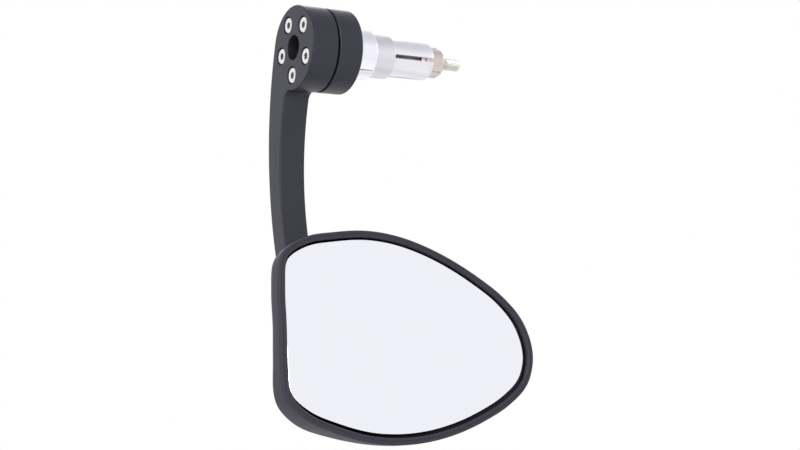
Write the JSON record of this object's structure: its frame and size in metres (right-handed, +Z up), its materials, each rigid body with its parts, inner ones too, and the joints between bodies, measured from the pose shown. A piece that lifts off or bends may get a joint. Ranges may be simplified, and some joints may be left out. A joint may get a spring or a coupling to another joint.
{
  "type": "bar-end mirror",
  "caption": "Bar-end mirror for a motorcycle: an expanding bar insert, a clamped swivel hub with a bowed arm, and a convex mirror head on a ball joint.",
  "frame": {"origin": "on the handlebar's axis, where the shoulder of the insert meets the bar's end", "axes": "+X along the bar's axis, into the bar; the glass faces -Y, towards the rider; +Z up, the arm hanging down"},
  "size_m": [0.1367, 0.0685, 0.2038],
  "materials": {
    "black_anodised": "satin black anodised, machined from plate",
    "polished_collar": "turned and polished",
    "satin_insert": "turned, satin",
    "nickel_nut": "nickel plated, satin",
    "zinc_bolt": "zinc plated",
    "bright_screws": "bright zinc plated",
    "stud_steel": "zinc plated, ball polished",
    "friction_washers": "plain",
    "seat_rings": "natural acetal",
    "housing_black": "satin black moulding",
    "socket_black": "fine grained black moulding",
    "carrier_black": "plain black moulding",
    "foam_pad": "closed-cell foam",
    "mirror_face": "convex, silvered"
  },
  "bodies": {
    "insert": {"expansion_sleeve": "satin_insert", "bar_bush": "polished_collar", "swivel_flange": "polished_collar"},
    "bolt": {"expansion_bolt": "zinc_bolt"},
    "nut": {"cone_nut": "nickel_nut"},
    "swivel_arm": {"arm": "black_anodised", "clamp_ring": "black_anodised", "clamp_screw_1": "bright_screws", "clamp_screw_2": "bright_screws", "clamp_screw_3": "bright_screws", "clamp_screw_4": "bright_screws", "clamp_screw_5": "bright_screws", "friction_washer_outer": "friction_washers", "friction_washer_inner": "friction_washers", "ball_stud": "stud_steel", "stud_washer": "stud_steel", "stud_nut": "stud_steel"},
    "roll_ring": {"rear_seat": "seat_rings"},
    "tilt_ring": {"front_seat": "seat_rings"},
    "head": {"mirror_housing": "housing_black", "socket_body": "socket_black", "socket_cap": "socket_black", "socket_screw_1": "bright_screws", "socket_screw_2": "bright_screws", "socket_screw_3": "bright_screws", "carrier_pad": "foam_pad", "glass_carrier": "carrier_black", "mirror_glass": "mirror_face"}
  },
  "joints": [
    {"name": "bolt_turn", "type": "hinge", "parent": "insert", "child": "bolt", "pos_m": [0, 0, 0], "axis": [-1, 0, 0], "range_deg": [0, 1080]},
    {"name": "nut_slide", "type": "slide", "parent": "insert", "child": "nut", "axis": [1, 0, 0], "range_m": [0, 0.003]},
    {"name": "arm_swivel", "type": "hinge", "parent": "insert", "child": "swivel_arm", "pos_m": [0, 0, 0], "axis": [1, 0, 0], "continuous": true},
    {"name": "head_roll", "type": "hinge", "parent": "swivel_arm", "child": "roll_ring", "pos_m": [-0.0434, -0.01235, -0.10799], "axis": [0, 0.8821, -0.471], "range_deg": [-30, 30]},
    {"name": "head_tilt", "type": "hinge", "parent": "roll_ring", "child": "tilt_ring", "pos_m": [-0.0434, -0.01235, -0.10799], "axis": [1, 0, 0], "range_deg": [-12, 12]},
    {"name": "head_pan", "type": "hinge", "parent": "tilt_ring", "child": "head", "pos_m": [-0.0434, -0.01235, -0.10799], "axis": [0, 0.2079, 0.9781], "range_deg": [-12, 12]}
  ],
  "couplings": [
    {"joint": "nut_slide", "follows": "bolt_turn", "m_per_rad": 0.00015915}
  ]
}
